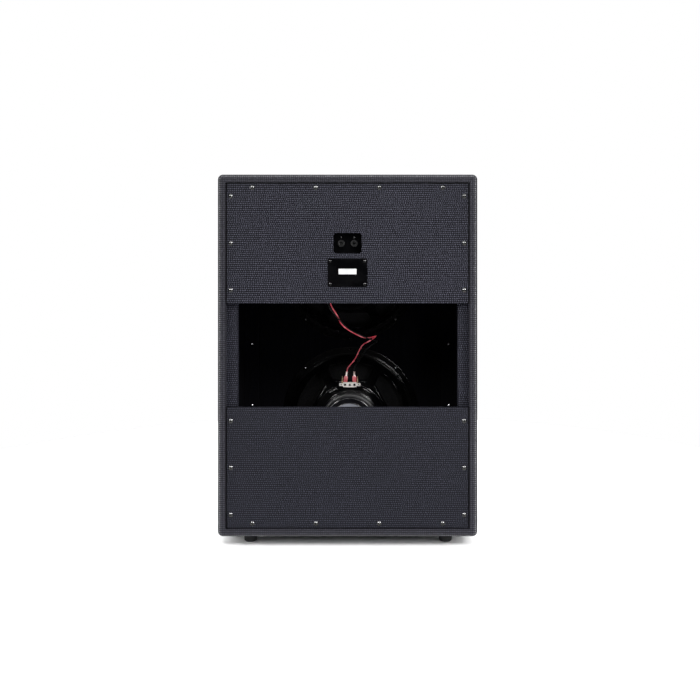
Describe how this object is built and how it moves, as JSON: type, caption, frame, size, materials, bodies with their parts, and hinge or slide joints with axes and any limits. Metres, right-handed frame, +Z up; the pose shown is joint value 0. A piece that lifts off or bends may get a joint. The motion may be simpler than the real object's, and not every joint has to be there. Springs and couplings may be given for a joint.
{
  "type": "guitar speaker cabinet",
  "caption": "Tall open-back guitar speaker cabinet covered in woven-grain vinyl, with drivers one above the other, screwed back panels, a recessed jack plate, side handles and rubber feet.",
  "frame": {"origin": "on the floor under the middle of the box", "axes": "+Z up, -Y towards the grille at the front, +X to the right as seen from the front"},
  "size_m": [0.5308, 0.305, 0.7445],
  "materials": {
    "vinyl": "charcoal vinyl with a fine woven grain",
    "black_wood": "flat black paint on birch plywood",
    "black_steel": "black oxide",
    "zinc_steel": "zinc plated",
    "frame_paint": "satin dark grey paint",
    "plate_paint": "satin black paint",
    "ferrite": "matt dark grey",
    "cone_paper": "pressed pulp",
    "cap_paper": "pressed pulp",
    "treated_cloth": "doped cloth",
    "spider_cloth": "phenolic cloth",
    "copper": "enamelled winding",
    "fibre_board": "pressed fibre",
    "tinsel_braid": "braided",
    "gasket_card": "pressed card",
    "red_sleeve": "soft plastic sleeve",
    "black_sleeve": "soft plastic sleeve",
    "crimp_sleeve": "tinted clear sleeve",
    "black_plastic": "moulded, fine grain",
    "jack_plastic": "moulded",
    "foot_rubber": "moulded",
    "grille_fabric": "open plain weave",
    "piping_cord": "smooth cord",
    "hook_loop": "hook and loop"
  },
  "bodies": {
    "cabinet": {"back_panel_screws": "black_steel", "baffle_board": "black_wood", "baffle_cleats": "black_wood", "baffle_screws": "black_steel", "bottom_panel": "black_wood", "crimp_terminals": "crimp_sleeve", "driver_bolts": "black_steel", "foot_screws": "zinc_steel", "grille_cloth": "grille_fabric", "grille_fasteners": "hook_loop", "grille_frame": "black_wood", "grille_piping": "piping_cord", "handle_screws": "black_steel", "jack_nuts": "jack_plastic", "jack_plate": "plate_paint", "left_handle": "black_plastic", "left_jack": "jack_plastic", "left_side_panel": "black_wood", "lower_back_panel": "black_wood", "lower_back_plate": "plate_paint", "lower_black_wire": "black_sleeve", "lower_frame": "frame_paint", "lower_gasket": "gasket_card", "lower_magnet": "ferrite", "lower_panel_vinyl": "vinyl", "lower_red_wire": "red_sleeve", "lower_spider": "spider_cloth", "lower_surround": "treated_cloth", "lower_terminal_board": "fibre_board", "lower_tinsel_leads": "tinsel_braid", "lower_top_plate": "zinc_steel", "plate_screws": "black_steel", "rating_plate": "plate_paint", "rear_cleats": "vinyl", "right_handle": "black_plastic", "right_jack": "jack_plastic", "right_side_panel": "black_wood", "rubber_feet": "foot_rubber", "tee_nuts": "zinc_steel", "top_panel": "black_wood", "upper_back_panel": "black_wood", "upper_back_plate": "plate_paint", "upper_black_wire": "black_sleeve", "upper_frame": "frame_paint", "upper_gasket": "gasket_card", "upper_magnet": "ferrite", "upper_panel_vinyl": "vinyl", "upper_red_wire": "red_sleeve", "upper_spider": "spider_cloth", "upper_surround": "treated_cloth", "upper_terminal_board": "fibre_board", "upper_tinsel_leads": "tinsel_braid", "upper_top_plate": "zinc_steel", "vinyl_covering": "vinyl"},
    "lower_cone_assembly": {"lower_cone": "cone_paper", "lower_dust_cap": "cap_paper", "lower_voice_coil": "copper"},
    "upper_cone_assembly": {"upper_cone": "cone_paper", "upper_dust_cap": "cap_paper", "upper_voice_coil": "copper"}
  },
  "joints": [
    {"name": "lower_cone_travel", "type": "slide", "parent": "cabinet", "child": "lower_cone_assembly", "axis": [0, -1, 0], "range_m": [-0.003, 0.003], "stiffness_N_per_m": 6000, "deforming": ["lower_surround", "lower_spider", "lower_tinsel_leads"]},
    {"name": "upper_cone_travel", "type": "slide", "parent": "cabinet", "child": "upper_cone_assembly", "axis": [0, -1, 0], "range_m": [-0.003, 0.003], "stiffness_N_per_m": 6000, "deforming": ["upper_surround", "upper_spider", "upper_tinsel_leads"]}
  ]
}
